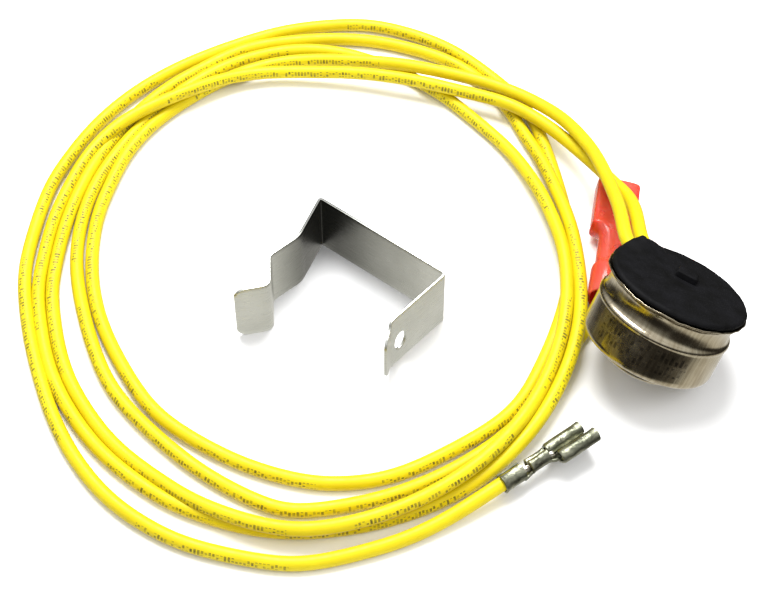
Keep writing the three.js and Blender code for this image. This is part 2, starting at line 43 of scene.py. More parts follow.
# ---- Camera and table ----
# The thermostat lies on a white table and is looked down on from the front. A broad soft light
# hangs overhead, and the room beyond the table is dark, which is what the bright metal shows.
CENTRING = Vector((0, 1.8, 0))  # millimetres, from the layout's own axes to the part's origin

camera_data = bpy.data.cameras.new("camera")
camera_data.lens = 86.7
camera_data.sensor_width = 36
camera_data.clip_start = 0.01
camera = bpy.data.objects.new("camera", camera_data)
camera.location = (-0.0184, -0.21496, 0.26429)
camera.rotation_euler = (math.radians(40), 0, 0)
scene.collection.objects.link(camera)
scene.camera = camera
scene.view_settings.view_transform = "Standard"


def put_node(tree, kind, inputs=(), **settings):
    """A node of that kind with those settings, its inputs set or linked by name or number."""
    made = tree.nodes.new(kind)
    for name, value in settings.items():
        setattr(made, name, value)
    for name, value in dict(inputs).items():
        if isinstance(value, bpy.types.NodeSocket):
            tree.links.new(value, made.inputs[name])
        else:
            made.inputs[name].default_value = value
    return made


def maths(tree, operation, first, second=0.0, third=0.0):
    """The result of a Math node."""
    return put_node(tree, "ShaderNodeMath", {0: first, 1: second, 2: third},
                    operation=operation).outputs[0]


def new_material(name, shader_values):
    """A Principled material with those shader values, and its tree and shader."""
    material = bpy.data.materials.new(name)
    material.use_nodes = True
    tree = material.node_tree
    shader = tree.nodes["Principled BSDF"]
    for socket, value in shader_values.items():
        shader.inputs[socket].default_value = value
    return material, tree, shader


def mix_colours(tree, share, first, second):
    """The first colour with that share of the second in it."""
    mixed = put_node(tree, "ShaderNodeMix", data_type="RGBA")
    for index, value in ((0, share), (6, first), (7, second)):
        if isinstance(value, bpy.types.NodeSocket):
            tree.links.new(value, mixed.inputs[index])
        else:
            mixed.inputs[index].default_value = value
    return mixed.outputs[2]


def colour(red, green, blue):
    return (red, green, blue, 1)


def mesh_object(name, mesh, material, smooth=True):
    piece = bpy.data.objects.new(name, mesh)
    scene.collection.objects.link(piece)
    mesh.materials.append(material)
    for polygon in mesh.polygons:
        polygon.use_smooth = smooth
    return piece


def set_ramp(ramp, stops):
    """Give a colour ramp its stops, each (place, (red, green, blue))."""
    elements = ramp.color_ramp.elements
    while len(elements) < len(stops):
        elements.new(0.5)
    for element, (place, shade) in zip(elements, stops):
        element.position = place
        element.color = colour(*shade)


TABLE_REACH = 3.0  # metres from the middle to each side
table_mesh = bpy.data.meshes.new("table")
table_mesh.from_pydata([(x * TABLE_REACH, y * TABLE_REACH, 0) for x, y in
                        ((-1, -1), (1, -1), (1, 1), (-1, 1))], [], [(0, 1, 2, 3)])
table_finish, tree, shader = new_material("table_paper", {"Roughness": 0.8})
speckle = put_node(tree, "ShaderNodeTexNoise", {"Scale": 40})
tree.links.new(mix_colours(tree, speckle.outputs["Fac"], colour(0.93, 0.93, 0.935),
                           colour(0.96, 0.96, 0.96)), shader.inputs["Base Color"])
table = mesh_object("table", table_mesh, table_finish, smooth=False)
table.visible_glossy = False


def soft_light(name, place, width, power):
    """A round area light at that place, aimed at the origin."""
    lamp = bpy.data.lights.new(name, "AREA")
    lamp.shape = "DISK"
    lamp.size = width
    lamp.energy = power
    light = bpy.data.objects.new(name, lamp)
    light.location = place
    light.rotation_euler = (-Vector(place)).to_track_quat("-Z", "Y").to_euler()
    scene.collection.objects.link(light)
    return light


soft_light("overhead_light", (-0.05, 0.32, 0.72), 0.5, 8.4)
side_light = soft_light("side_light", (0.55, -0.15, 0.55), 0.4, 1.6)
side_light.visible_glossy = False

room = bpy.data.worlds.new("room")
room.use_nodes = True
scene.world = room
tree = room.node_tree
direction = put_node(tree, "ShaderNodeTexCoord").outputs["Generated"]
height = put_node(tree, "ShaderNodeSeparateXYZ", {"Vector": direction}).outputs["Z"]
share = put_node(tree, "ShaderNodeMapRange", {"Value": height, "From Min": -1, "From Max": 1})
ramp = put_node(tree, "ShaderNodeValToRGB", {"Fac": share.outputs["Result"]})
set_ramp(ramp, [  # from straight down to straight up
    (0.0, (0.95, 0.94, 0.90)), (0.19, (0.85, 0.83, 0.76)), (0.27, (0.10, 0.09, 0.075)),
    (0.36, (0.03, 0.028, 0.025)), (0.53, (0.05, 0.045, 0.04)), (0.68, (0.5, 0.5, 0.48)),
    (0.80, (0.95, 0.95, 0.95))])
tree.links.new(ramp.outputs["Color"], tree.nodes["Background"].inputs["Color"])
tree.nodes["Background"].inputs["Strength"].default_value = 1.0

# ---- Leads ----
# Two PVC-covered leads of 2.6 mm leave the capsule side by side and lie in a loose coil, one
# ending in the bare receptacle and one in the red one. Each is one continuous length.
LEAD_RADIUS = 1.3
LOW, HIGH = LEAD_RADIUS, 3.95  # heights of a strand on the table and of one on top of another
COIL_CENTRE = Vector((-33.4, 13.5, 0))

# The capsule lies tipped over, resting on its foot's edge and on the bottom corner of its wall.
CAPSULE_LEAN = math.radians(29.3)
LEAN_HEADING = math.radians(41.6)
LEAD_TURN = math.radians(76.6)
downhill = Vector((math.cos(LEAN_HEADING) * math.cos(CAPSULE_LEAN),
                   math.sin(LEAN_HEADING) * math.cos(CAPSULE_LEAN), -math.sin(CAPSULE_LEAN)))
across_hill = Vector((-math.sin(LEAN_HEADING), math.cos(LEAN_HEADING), 0))
capsule_axis = downhill.cross(across_hill)
to_leads = downhill * math.cos(LEAD_TURN) + across_hill * math.sin(LEAD_TURN)
beside_leads = capsule_axis.cross(to_leads)
FOOT_EDGE = 7.1  # from the foot's centre to where it touches the table
capsule_foot = Vector((27.34, -12.1, FOOT_EDGE * math.sin(CAPSULE_LEAN)))


def on_capsule(x, y, z):
    """A point of the capsule's own frame, in the layout's millimetres."""
    return capsule_foot + to_leads * x + beside_leads * y + capsule_axis * z


def on_coil(angle, radius, height):
    """A point of the coil, from its angle in degrees, distance from the centre and height."""
    turn = math.radians(angle)
    return COIL_CENTRE + Vector((radius * math.cos(turn), radius * math.sin(turn), height))


plain_lead_down = [
    on_capsule(11.2, 1.7, 15.9), on_capsule(14.0, 1.8, 16.2), (25.1, 12.7, 15.0),
    (24.3, 21.8, 12.5), (22.7, 31.5, 10.2), (21.4, 36.4, 9.0), (20.1, 40.3, 7.8),
    (16.9, 47.5, 6.0), (13.4, 52.0, 4.7),
]
plain_lead_coil = [
    (45, 60.3, 3.95), (53, 58.2, 3.95), (64, 55.7, 3.95), (71, 55.2, 3.5), (77, 54.8, 3),
    (86, 55.2, 2), (93, 55.7, LOW), (100, 55, LOW), (110, 52.9, LOW), (123, 49.9, LOW),
    (132, 48.2, LOW), (142, 46, LOW), (150, 43.9, LOW), (164, 41.9, LOW), (181, 40.2, LOW),
    (195, 39.8, LOW), (207, 40, LOW), (220, 41.1, LOW), (232, 43.3, LOW), (242, 44.7, LOW),
    (258, 47.5, LOW), (271, 50.2, LOW), (279, 51.3, LOW), (291, 51.9, LOW), (315, 51.8, LOW),
    (330, 50.1, LOW), (345, 49.6, LOW), (360, 50.6, LOW), (375, 51.7, LOW), (383, 53.1, LOW),
    (390, 55, LOW), (397, 57.6, LOW), (405, 60.8, LOW), (420, 64.6, LOW), (428, 66.5, LOW),
    (435, 67.3, LOW), (441, 67.6, LOW), (452, 65.6, LOW), (461, 63.4, LOW), (475, 60.5, LOW),
    (487, 58.5, LOW), (499, 56.5, LOW), (511, 54.6, LOW), (521, 53.6, LOW), (540, 52.6, LOW),
    (550, 52.5, LOW), (562, 53.1, LOW), (572, 54.6, LOW), (580, 56.7, LOW), (590, 59.7, LOW),
    (600, 62.8, LOW), (610, 64.9, LOW), (617, 65.7, LOW), (628, 66.8, LOW), (634, 66.5, LOW),
]
bare_terminal_lead = [
    (-16.9, -49.3, 1.31), (-13.0, -47.5, 1.31), (-9.6, -45.75, 1.45), (-5.7, -43.4, 1.95),
    (-2.1, -41.05, 2.6), (1.6, -38.5, 3.05), (5.15, -35.92, 3.32),
]
printed_lead_down = [
    on_capsule(11.2, -2.0, 15.9), on_capsule(14.0, -2.1, 16.2), (28.3, 14.6, 13.0),
    (27.6, 22.4, 10.0), (25.2, 27.7, 7.9), (23.6, 31.3, 7.5), (22.4, 33.5, 6.8),
    (19.0, 40.5, 4.8), (14.6, 46.6, 4.1),
]
printed_lead_coil = [
    (40, 57.6, HIGH), (46, 56.4, HIGH), (51, 54.4, HIGH), (57, 52.7, HIGH), (64, 51.6, HIGH),
    (71, 50.6, HIGH), (79, 50.4, 3.5), (86, 50.3, 3), (93, 50.7, 2.6), (100, 51.5, 2.5),
    (109, 51.6, 2.9), (119, 50.2, HIGH), (126, 50.3, HIGH), (132, 50.8, HIGH), (140, 51.8, 3),
    (150, 51.6, 1.5), (155, 50.7, LOW), (167, 49.8, LOW), (183, 49.6, LOW), (191, 50.2, LOW),
    (207, 51.7, LOW), (218, 53.3, LOW), (229, 55.2, LOW), (236, 56.4, LOW), (243, 57.5, LOW),
    (250, 58.8, LOW), (261, 60, LOW), (271, 60.6, LOW), (285, 60.2, LOW), (300, 59.2, LOW),
    (315, 57.4, 2.6), (330, 55.1, HIGH), (345, 52.9, HIGH), (360, 51.2, HIGH), (371, 51.1, 3.4),
    (379, 51.3, 2.8), (390, 53.2, 1.8), (400, 55.2, LOW), (405, 57.5, LOW), (420, 62, LOW),
    (435, 62.8, LOW), (447, 62.3, LOW), (459, 61.3, LOW), (465, 60.4, LOW), (472, 58, LOW),
    (482, 55.7, LOW), (495, 52.2, LOW), (510, 49.2, LOW), (527, 47.2, LOW), (543, 47, LOW),
    (551, 47.6, LOW), (567, 49.1, LOW), (578, 50.7, LOW), (589, 52.6, LOW), (596, 53.8, LOW),
    (605, 55.5, 1.8), (615, 58.5, 3), (630, 61.8, HIGH), (645, 60.4, HIGH), (660, 58, HIGH),
    (675, 55.2, HIGH), (690, 52.4, HIGH), (705, 50.3, HIGH), (720, 48.9, HIGH), (730, 48.2, 3.4),
    (740, 48.3, 2.8), (754, 49.2, 1.8), (763, 49.9, LOW), (774, 51.4, LOW), (780, 52.8, LOW),
    (795, 56.3, LOW), (810, 59, LOW), (825, 57.5, LOW), (840, 53.4, LOW), (855, 49.2, LOW),
    (870, 46.6, LOW), (884, 44.7, LOW), (901, 43.1, LOW), (922, 42.6, LOW), (940, 44.9, LOW),
    (952, 46.5, LOW), (962, 48.4, LOW), (970, 50.6, LOW), (979, 53.4, LOW), (985, 55.3, LOW),
    (990, 56.5, LOW), (1005, 55.7, LOW), (1020, 54.9, LOW), (1035, 54.3, LOW), (1050, 53.2, LOW),
    (1059, 53.7, LOW),
]
sleeve_lead = [
    (19.5, -1.6, 1.4), (21.1, 0.6, 1.9), (22.2, 3.2, 2.6), (22.95, 6.9, 3.1), (23.7, 11.5, 3.15),
]


def smooth_line(points, step=1.1, rounds=20):
    """An evenly spaced smooth line through the points, in metres in the part's frame."""
    points = [Vector(point) + CENTRING for point in points]
    points = [points[0] * 2 - points[1]] + points + [points[-1] * 2 - points[-2]]
    line = []
    for a, b, c, d in zip(points, points[1:], points[2:], points[3:]):
        pieces = max(2, round((c - b).length / step))
        for piece in range(pieces):
            t = piece / pieces
            line.append(0.5 * (2 * b + (c - a) * t + (2 * a - 5 * b + 4 * c - d) * t * t
                               + (3 * b - a - 3 * c + d) * t * t * t))
    line.append(points[-2])
    for _ in range(rounds):
        eased = [(p + 2 * q + r) / 4 for p, q, r in zip(line, line[1:], line[2:])]
        line = [line[0]] + eased + [line[-1]]
    return [point * mm for point in line]


PRINT_SIDE = Vector((0, -0.94, 0.34))  # the printed side of each lead lies towards the front


def lead_tube(name, line, material, sides=20):
    """A round tube. Its UV map holds millimetres along it and millimetres round from the print."""
    radius = LEAD_RADIUS * mm
    mesh = bpy.data.meshes.new(name)
    verts, faces, along, print_angles = [], [], [], []
    travelled = 0
    for i, point in enumerate(line):
        tangent = (line[min(i + 1, len(line) - 1)] - line[max(i - 1, 0)]).normalized()
        side = tangent.cross(Vector((0, 0, 1))).normalized()
        up = side.cross(tangent)
        travelled += (point - line[i - 1]).length if i else 0
        along.append(travelled / mm)
        angle = math.atan2(PRINT_SIDE.dot(up), PRINT_SIDE.dot(side))
        if print_angles:
            angle += round((print_angles[-1] - angle) / (2 * math.pi)) * 2 * math.pi
        print_angles.append(angle)
        for k in range(sides):
            turn = 2 * math.pi * k / sides
            verts.append(point + (side * math.cos(turn) + up * math.sin(turn)) * radius)
    last = len(line) - 1
    corners = []
    for i in range(last):
        for k in range(sides):
            after = (k + 1) % sides
            faces.append((i * sides + k, i * sides + after, (i + 1) * sides + after,
                          (i + 1) * sides + k))
            corners.append(((i, k), (i, k + 1), (i + 1, k + 1), (i + 1, k)))
    faces.append(tuple(reversed(range(sides))))
    corners.append(tuple((0, k) for k in reversed(range(sides))))
    faces.append(tuple(last * sides + k for k in range(sides)))
    corners.append(tuple((last, k) for k in range(sides)))
    mesh.from_pydata(verts, [], faces)
    uv = mesh.uv_layers.new(name="lead_map")
    loop = 0
    for face in corners:
        for i, k in face:
            round_from_print = (2 * math.pi * k / sides - print_angles[i]) * LEAD_RADIUS
            uv.data[loop].uv = (along[i], round_from_print)
            loop += 1
    return mesh_object(name, mesh, material), travelled


def make_mottle():
    """Shared group: a slow patchy value between Low and High over a vector."""
    tree = bpy.data.node_groups.new("mottle", "ShaderNodeTree")
    face = tree.interface
    face.new_socket("Vector", in_out="INPUT", socket_type="NodeSocketVector")
    for name, value in (("Scale", 400.0), ("Detail", 3.0), ("Low", 0.0), ("High", 1.0)):
        face.new_socket(name, in_out="INPUT", socket_type="NodeSocketFloat").default_value = value
    face.new_socket("Value", in_out="OUTPUT", socket_type="NodeSocketFloat")
    given = tree.nodes.new("NodeGroupInput").outputs
    noise = put_node(tree, "ShaderNodeTexNoise", {
        "Vector": given["Vector"], "Scale": given["Scale"], "Detail": given["Detail"]})
    spread = put_node(tree, "ShaderNodeMapRange", {
        "Value": noise.outputs["Fac"], "From Min": 0.32, "From Max": 0.68,
        "To Min": given["Low"], "To Max": given["High"]})
    put_node(tree, "NodeGroupOutput", {"Value": spread.outputs["Result"]})
    return tree


def make_ticks():
    """Shared group: a row of small broken marks, as worn print looks, along U at V = 0."""
    tree = bpy.data.node_groups.new("print_ticks", "ShaderNodeTree")
    face = tree.interface
    for name, value in (("U", 0.0), ("V", 0.0), ("Height", 1.0), ("Pitch", 0.5), ("Word", 8.0)):
        face.new_socket(name, in_out="INPUT", socket_type="NodeSocketFloat").default_value = value
    face.new_socket("Mask", in_out="OUTPUT", socket_type="NodeSocketFloat")
    given = tree.nodes.new("NodeGroupInput").outputs

    step = maths(tree, "DIVIDE", given["U"], given["Pitch"])
    inside_cell = maths(tree, "LESS_THAN", maths(tree, "FRACT", step), 0.62)
    rise = maths(tree, "DIVIDE", given["V"], given["Height"])
    row = maths(tree, "FLOOR", maths(tree, "MULTIPLY", rise, 3.0))
    place = put_node(tree, "ShaderNodeCombineXYZ", {"X": maths(tree, "FLOOR", step), "Y": row})
    stroke = put_node(tree, "ShaderNodeTexWhiteNoise", {"Vector": place.outputs["Vector"]},
                      noise_dimensions="3D").outputs["Value"]
    word = maths(tree, "FLOOR", maths(tree, "DIVIDE", given["U"], given["Word"]))
    word_on = put_node(tree, "ShaderNodeTexWhiteNoise", {"W": word},
                       noise_dimensions="1D").outputs["Value"]
    within = maths(tree, "LESS_THAN", maths(tree, "ABSOLUTE", given["V"]),
                   maths(tree, "MULTIPLY", given["Height"], 0.5))
    mask = maths(tree, "MULTIPLY", maths(tree, "GREATER_THAN", stroke, 0.42), inside_cell)
    mask = maths(tree, "MULTIPLY", mask, maths(tree, "GREATER_THAN", word_on, 0.25))
    put_node(tree, "NodeGroupOutput", {"Mask": maths(tree, "MULTIPLY", mask, within)})
    return tree


mottle_group = make_mottle()
ticks_group = make_ticks()


def mottle(tree, scale, low, high, vector=None, detail=3.0):
    """A patchy value over the object, or over the vector given."""
    if vector is None:
        vector = put_node(tree, "ShaderNodeTexCoord").outputs["Object"]
    return put_node(tree, "ShaderNodeGroup", {
        "Vector": vector, "Scale": scale, "Detail": detail, "Low": low, "High": high},
        node_tree=mottle_group).outputs["Value"]


def bump(tree, shader, height, distance, strength=0.5):
    raised = put_node(tree, "ShaderNodeBump", {
        "Height": height, "Distance": distance, "Strength": strength})
    tree.links.new(raised.outputs["Normal"], shader.inputs["Normal"])


def mapped(tree, uv_map):
    """A UV map's vector and its separate parts."""
    where = put_node(tree, "ShaderNodeUVMap", uv_map=uv_map).outputs["UV"]
    return where, put_node(tree, "ShaderNodeSeparateXYZ", {"Vector": where}).outputs


def lead_finish(name, first_print, last_print):
    """Yellow PVC with a soft gloss, painted shade darkening the edges that turn away, and a worn
    line of dark print between two lengths along it.
    """
    material, tree, shader = new_material(name, {"Roughness": 0.42, "Specular IOR Level": 0.25})
    _, parts = mapped(tree, "lead_map")
    half_girth = math.pi * LEAD_RADIUS
    round_print = maths(tree, "WRAP", parts["Y"], half_girth, -half_girth)
    ticks = put_node(tree, "ShaderNodeGroup", {
        "U": parts["X"], "V": round_print, "Height": 1.05, "Pitch": 0.66, "Word": 11.0},
        node_tree=ticks_group).outputs["Mask"]
    ink = maths(tree, "MULTIPLY", ticks, mottle(tree, 900, 0.35, 1.0))
    for reached in (maths(tree, "GREATER_THAN", parts["X"], first_print),
                    maths(tree, "LESS_THAN", parts["X"], last_print)):
        ink = maths(tree, "MULTIPLY", ink, reached)
    shade = mix_colours(tree, mottle(tree, 120, 0, 1), colour(0.68, 0.54, 0.005),
                        colour(0.74, 0.61, 0.008))
    # Painted shade: the yellow darkens towards the tube's edges as they turn away from view.
    painted_edge_shade = put_node(tree, "ShaderNodeLayerWeight", {"Blend": 0.35}).outputs["Facing"]
    shade = mix_colours(tree, maths(tree, "POWER", painted_edge_shade, 2.2), shade, colour(0.42, 0.29, 0.003))
    tree.links.new(mix_colours(tree, ink, shade, colour(0.13, 0.11, 0.02)),
                   shader.inputs["Base Color"])
    tree.links.new(mottle(tree, 700, 0.34, 0.5), shader.inputs["Roughness"])
    bump(tree, shader, mottle(tree, 1500, 0, 1, detail=2), 0.00002)
    return material


plain_line = smooth_line(plain_lead_down + [on_coil(*p) for p in plain_lead_coil]
                         + bare_terminal_lead)
printed_line = smooth_line(printed_lead_down + [on_coil(*p) for p in printed_lead_coil]
                           + sleeve_lead)
plain_lead, plain_length = lead_tube("plain_lead", plain_line, lead_finish("plain_pvc", 90, 610))
printed_lead, printed_length = lead_tube("printed_lead", printed_line,
                                         lead_finish("printed_pvc", 60, 1000))
for piece in (plain_lead, printed_lead):
    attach(piece, "thermostat")
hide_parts("plain_lead_tail", "bare_end_tail", "lead_coil")
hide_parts("printed_lead_tail", "red_end_tail")

# ---- Capsule shell ----
# Drawn from nickel-plated sheet: a stepped foot that holds the snap disc, a straight wall with a
# bead, a rolled waist, and a rim that was crimped over by hand tools and is a little uneven.


def rounded_profile(points, pieces=5):
    """Points (radius, height, corner) with each corner eased over that reach."""
    eased = []
    for i, (radius, height, corner) in enumerate(points):
        here = Vector((radius, height))
        if corner == 0 or i in (0, len(points) - 1):
            eased.append(here)
            continue
        before, after = Vector(points[i - 1][:2]), Vector(points[i + 1][:2])
        start = here + (before - here).normalized() * min(corner, (before - here).length * 0.48)
        end = here + (after - here).normalized() * min(corner, (after - here).length * 0.48)
        for piece in range(pieces + 1):
            t = piece / pieces
            eased.append(start * (1 - t) ** 2 + here * 2 * t * (1 - t) + end * t * t)
    return eased


def mesh_from(bm, name, turn_outwards=True):
    """The bmesh as a mesh of that name, with new faces turned outwards."""
    if turn_outwards:
        bmesh.ops.recalc_face_normals(bm, faces=bm.faces)
    mesh = bpy.data.meshes.new(name)
    bm.to_mesh(mesh)
    bm.free()
    return mesh


WALL_RADIUS = 12.35
SIDES = 144


def turned_piece(name, profile, shape, material):
    """A closed turned piece on the capsule's axis; shape moves each of its points.
    The UV map holds millimetres round the piece and the local height."""
    bm = bmesh.new()
    uv = bm.loops.layers.uv.new("round_map")
    local = {}
    rings = []
    for point in profile:
        ring = []
        for k in range(1 if point.x < 1e-6 else SIDES):
            turn = 2 * math.pi * k / SIDES
            spot = shape(point.x, turn, point.y)
            vert = bm.verts.new((on_capsule(*spot) + CENTRING) * mm)
            local[vert] = (turn, spot[2])
            ring.append(vert)
        rings.append(ring)
    for low, high in zip(rings, rings[1:]):
        for k in range(SIDES):
            after = (k + 1) % SIDES
            corners = [low[k % len(low)], low[after % len(low)], high[after % len(high)],
                       high[k % len(high)]]
            distinct = list(dict.fromkeys(corners))
            if len(distinct) < 3:
                continue
            made = bm.faces.new(distinct)
            for loop in made.loops:
                turn, height = local[loop.vert]
                if k == SIDES - 1 and turn < math.pi:
                    turn += 2 * math.pi
                loop[uv].uv = (turn * WALL_RADIUS, height)
    return mesh_object(name, mesh_from(bm, name), material)


def ease(value, low, high):
    """A smooth step from 0 at low to 1 at high."""
    share = min(1.0, max(0.0, (value - low) / (high - low)))
    return share * share * (3 - 2 * share)


def ripple(turn, *waves):
    """Unevenness round a rim, from waves of (size, count, shift)."""
    return sum(size * math.sin(count * turn + shift) for size, count, shift in waves)


NOTCH_FLOOR = 14.4


def shell_shape(radius, turn, height):
    """Uneven crimped rim, and the notch in it where the leads leave."""
    crimped = ease(height, 14.6, 15.7) * ease(radius, 10.5, 12.6)
    radius += crimped * ripple(turn, (0.07, 7, 1.0), (0.05, 13, 2.1), (0.04, 29, 0.4))
    height += crimped * ripple(turn, (0.06, 9, 0.3), (0.05, 17, 1.2), (0.03, 37, 2.0))
    away = abs(math.degrees((turn + math.pi) % (2 * math.pi) - math.pi))
    notched = 1 - ease(away, 15, 19)
    height -= max(0.0, height - NOTCH_FLOOR) * notched
    return radius * math.cos(turn), radius * math.sin(turn), height


nickel, tree, shader = new_material("nickel_plate_warm", {"Metallic": 1.0, "Roughness": 0.2})
where, parts = mapped(tree, "round_map")
drawn = put_node(tree, "ShaderNodeMapping", {"Vector": where, "Scale": (1.6, 0.12, 1)})
streaks = mottle(tree, 1.0, 0, 1, vector=drawn.outputs["Vector"], detail=5)
plate = mix_colours(tree, streaks, colour(0.35, 0.30, 0.21), colour(0.55, 0.50, 0.38))
blotches = maths(tree, "MULTIPLY", mottle(tree, 190, 0, 1), 0.45)
plate = mix_colours(tree, blotches, plate, colour(0.34, 0.27, 0.17))
mark_rows = [put_node(tree, "ShaderNodeGroup", {
    "U": parts["X"], "V": maths(tree, "SUBTRACT", parts["Y"], row_height), "Height": 1.9,
    "Pitch": pitch, "Word": 9.0}, node_tree=ticks_group).outputs["Mask"]
    for row_height, pitch in ((8.3, 0.95), (5.9, 0.85))]
worn = maths(tree, "MULTIPLY", maths(tree, "MAXIMUM", *mark_rows), mottle(tree, 800, 0.05, 0.9))
tree.links.new(mix_colours(tree, worn, plate, colour(0.07, 0.06, 0.05)),
               shader.inputs["Base Color"])
tree.links.new(mottle(tree, 350, 0.13, 0.3), shader.inputs["Roughness"])
bump(tree, shader, streaks, 0.00003, 0.35)

shell_profile = rounded_profile([
    (0, 0, 0), (7.5, 0, 0.6), (7.5, 2.5, 0.5), (WALL_RADIUS, 2.5, 1.6), (WALL_RADIUS, 10.1, 0.3),
    (12.55, 10.3, 0.2), (12.55, 10.85, 0.3), (11.9, 11.35, 0.6), (11.75, 13.3, 1.2),
    (12.2, 15.0, 0.7), (13.2, 15.7, 0.15), (13.12, 15.98, 0.12), (12.5, 15.75, 0.3),
    (11.6, 15.1, 0.6), (10.9, 13.6, 0.9), (10.9, 11.8, 0.8), (11.75, 10.6, 0.5),
    (11.75, 3.1, 0.8), (6.9, 3.1, 0.3), (6.9, 0.6, 0.3), (0, 0.6, 0)])
shell = turned_piece("capsule_shell", shell_profile, shell_shape, nickel)
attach(shell, "thermostat")
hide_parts("housing_shell")

# ---- Potting ----
# Black epoxy poured in over the switch. It laps over the rim, swells round the two leads where
# they come out, and has set with a slightly rough edge and one small square nub.


def potting_shape(radius, turn, height):
    """A rough lapped edge, faint waves on top, and a swelling where the leads come out."""
    lap = ease(radius, 11.5, 13.0) * ease(height, 15.6, 16.2)
    radius += lap * ripple(turn, (0.04, 5, 0.5), (0.03, 13, 1.7), (0.03, 23, 0.2), (0.03, 41, 2.4))
    x, y = radius * math.cos(turn), radius * math.sin(turn)
    top = ease(height, 16.2, 16.9)
    height += top * 0.05 * math.sin(0.9 * x + 1) * math.sin(0.8 * y)
    swell = math.exp(-((y + 0.15) / 3.7) ** 4) * ease(x, 7.0, 11.2)
    height += top * 0.95 * swell
    height -= (1 - top) * 1.5 * swell * ease(height, 14.5, 15.8)
    x += 0.25 * swell * lap
    peak = math.exp(-((x - 12.2) / 1.1) ** 2 - ((y + 0.1) / 0.75) ** 2)
    height += top * 0.7 * peak
    return x, y, height


potting_finish, tree, shader = new_material("black_epoxy", {
    "Roughness": 0.6, "Specular IOR Level": 0.07})
tree.links.new(mix_colours(tree, mottle(tree, 300, 0, 1), colour(0.003, 0.003, 0.003),
                           colour(0.006, 0.006, 0.007)), shader.inputs["Base Color"])
tree.links.new(mottle(tree, 500, 0.5, 0.7), shader.inputs["Roughness"])
bump(tree, shader, mottle(tree, 900, 0, 1, detail=5), 0.00008, 0.5)

top_rings = [(radius, 17.2 - 0.12 * (radius / 12) ** 4, 0) for radius in
             (11.8, 11.0, 10, 9, 8, 7, 6, 4.5, 3, 1.5, 0)]
potting_profile = rounded_profile([
    (0, 12.0, 0), (10.5, 12.0, 0.3), (10.55, 13.6, 0.8), (11.3, 15.1, 0.6), (12.3, 15.95, 0.3),
    (12.8, 16.1, 0.25), (12.95, 16.6, 0.35), (12.5, 17.08, 0.3)] + top_rings)
potting = turned_piece("potting", potting_profile, potting_shape, potting_finish)
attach(potting, "thermostat")
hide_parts("potting_cap")

NUB_TURN = math.radians(37.4)
NUB_CENTRE = (1.57, -2.56, 17.4)
NUB_SIZE = (4.2, 3.0, 1.9)
bm = bmesh.new()
bmesh.ops.create_cube(bm, size=1)
bmesh.ops.bevel(bm, geom=bm.edges, offset=0.12, segments=3, profile=0.6, affect="EDGES")
for vert in bm.verts:
    x, y, z = (part * size for part, size in zip(vert.co, NUB_SIZE))
    x -= 0.25 * ease(z, 0, NUB_SIZE[2] / 2) * (1 if x > 0 else -1)
    turned_x = NUB_CENTRE[0] + x * math.cos(NUB_TURN) - y * math.sin(NUB_TURN)
    turned_y = NUB_CENTRE[1] + x * math.sin(NUB_TURN) + y * math.cos(NUB_TURN)
    vert.co = (on_capsule(turned_x, turned_y, NUB_CENTRE[2] + z) + CENTRING) * mm
# The cube's faces point outwards already, and turning them after the move would flip them.
nub_mesh = mesh_from(bm, "potting_nub", turn_outwards=False)
nub = mesh_object("potting_nub", nub_mesh, potting_finish)
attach(nub, "thermostat")

# ---- Bare receptacle ----
# A 6.3 mm female quick-connect stamped from tinned brass: insulation crimp, conductor crimp,
# neck, and a flat body whose two edges are rolled over to grip a tab. It lies rolled on one edge.


def laid_frame(place, heading, pitch, roll):
    """The frame of a terminal that lies at that place, from its own millimetres to the part's."""
    turned_frame = (Matrix.Rotation(math.radians(heading), 4, "Z")
                    @ Matrix.Rotation(math.radians(-pitch), 4, "Y")
                    @ Matrix.Rotation(math.radians(roll), 4, "X"))
    return Matrix.Translation((Vector(place) + CENTRING) * mm) @ turned_frame @ Matrix.Scale(mm, 4)


def bent_sheet(bm, stations):
    """A sheet through the sections, each (x, [(y, z), ...]) with the same number of points."""
    rows = [[bm.verts.new((x, y, z)) for y, z in section] for x, section in stations]
    for row, after in zip(rows, rows[1:]):
        for k in range(len(row) - 1):
            bm.faces.new((row[k], row[k + 1], after[k + 1], after[k]))


def evenly(start, end, count):
    return [start + (end - start) * k / (count - 1) for k in range(count)]


def arc(centre, radius, start, end, pieces=12):
    """Points (y, z) of an arc between two angles in degrees."""
    return [(centre[0] + radius * math.cos(math.radians(angle)),
             centre[1] + radius * math.sin(math.radians(angle)))
            for angle in evenly(start, end, pieces + 1)]


def rolled_section(half_width, floor, roll_radius, curl):
    """The body's section: both edges rolled in, and a flat floor between."""
    centre = (half_width - roll_radius, floor + roll_radius)
    right = arc(centre, roll_radius, curl, -90, 16)
    left = [(-y, z) for y, z in reversed(right)]
    return right + [(y, floor) for y in evenly(centre[0], -centre[0], 9)[1:-1]] + left


def conductor_section(size):
    """Two wings curled into the strands, as a crimping tool leaves them."""
    half = [(0.02, 0.25), (0.12, 0.72), (0.42, 0.98), (0.8, 0.92), (1.08, 0.6), (1.2, 0.1),
            (1.16, -0.45), (0.9, -0.95), (0.45, -1.22)]
    right = [(y * size, z * size) for y, z in half]
    return right + [(0, -1.28 * size)] + [(-y, z) for y, z in reversed(right)]


def give_stock(piece, stock, edge_width):
    """Give a sheet its thickness and eased edges, both in millimetres."""
    wall = piece.modifiers.new("stock", "SOLIDIFY")
    wall.thickness = stock * mm
    wall.offset = 0
    edge = piece.modifiers.new("edge", "BEVEL")
    edge.width = edge_width * mm
    edge.segments = 2
    edge.limit_method = "ANGLE"
    edge.angle_limit = math.radians(50)


def terminal_piece(name, bm, frame_matrix):
    """The sheet as a tinned terminal, laid in place."""
    mesh = mesh_from(bm, name)
    mesh.transform(frame_matrix)
    piece = mesh_object(name, mesh, tin)
    give_stock(piece, 0.38, 0.07)
    return piece


